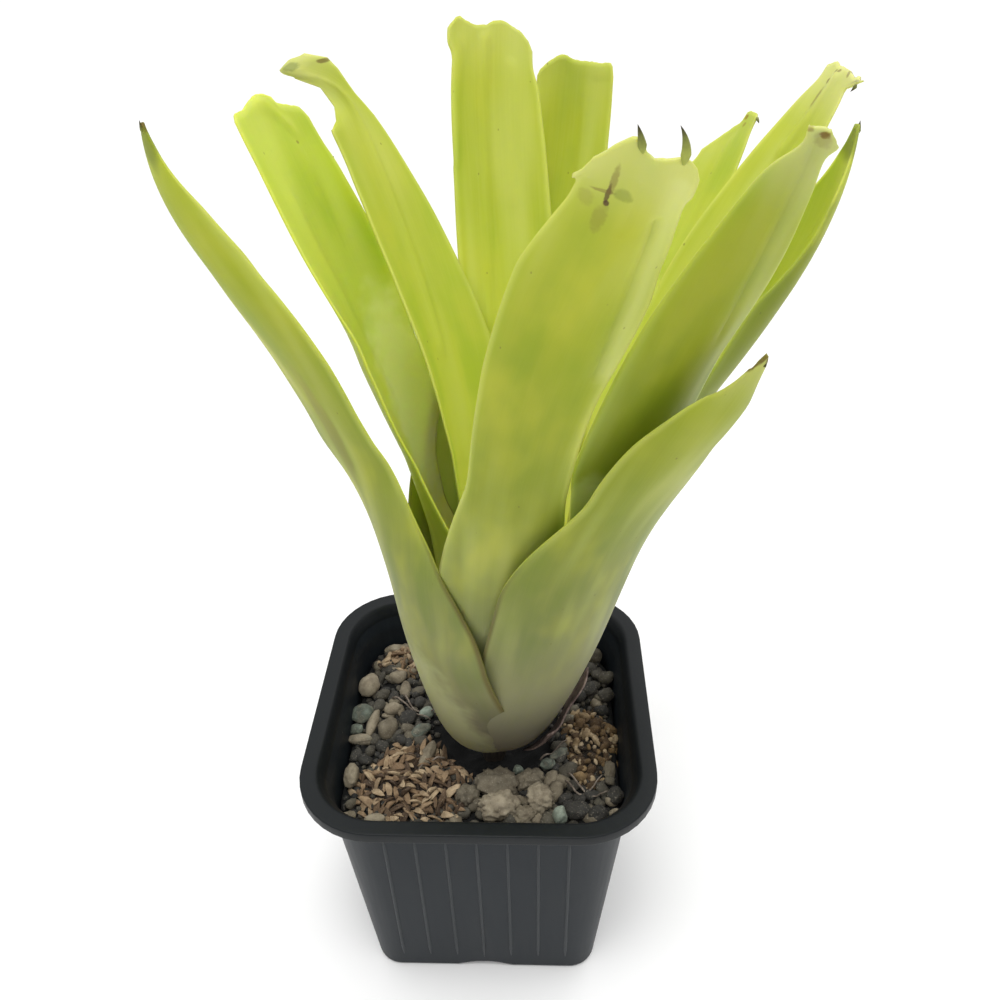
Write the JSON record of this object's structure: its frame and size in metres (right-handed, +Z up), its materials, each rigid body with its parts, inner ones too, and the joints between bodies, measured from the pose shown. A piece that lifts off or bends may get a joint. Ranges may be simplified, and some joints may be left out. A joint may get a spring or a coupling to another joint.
{
  "type": "potted bromeliad",
  "caption": "Aechmea rosette of pale green strap leaves, growing in coarse mix in a small square black nursery pot.",
  "frame": {"origin": "middle of the pot's base, on the surface it stands on", "axes": "+Z up along the pot, -Y towards the side seen in the picture, +X to that view's right"},
  "size_m": [0.1178, 0.0978, 0.2127],
  "materials": {
    "black_plastic": "matte",
    "mix_brown": "rough",
    "husk_tan": "rough",
    "pebble_tan": "rough",
    "lump_pale": "rough",
    "bark_brown": "rough",
    "stem_tan": "satin",
    "leaf_green": "satin"
  },
  "bodies": {
    "root": {"nursery_pot": "black_plastic", "potting_mix": "mix_brown", "husk_clump_front": "husk_tan", "husk_clump_back": "husk_tan", "pebbles_left": "pebble_tan", "pale_lumps_front": "lump_pale", "bark_clump_right": "bark_brown", "rosette_stem": "stem_tan", "leaf_left_low": "leaf_green", "leaf_front_right_low": "leaf_green", "leaf_back_low": "leaf_green", "leaf_back_right_low": "leaf_green", "leaf_front": "leaf_green", "leaf_right_low": "leaf_green", "leaf_left": "leaf_green", "leaf_right_front": "leaf_green", "leaf_right_high": "leaf_green", "leaf_back_right_inner": "leaf_green", "leaf_back_right": "leaf_green", "leaf_back": "leaf_green", "leaf_left_back": "leaf_green"}
  },
  "joints": []
}
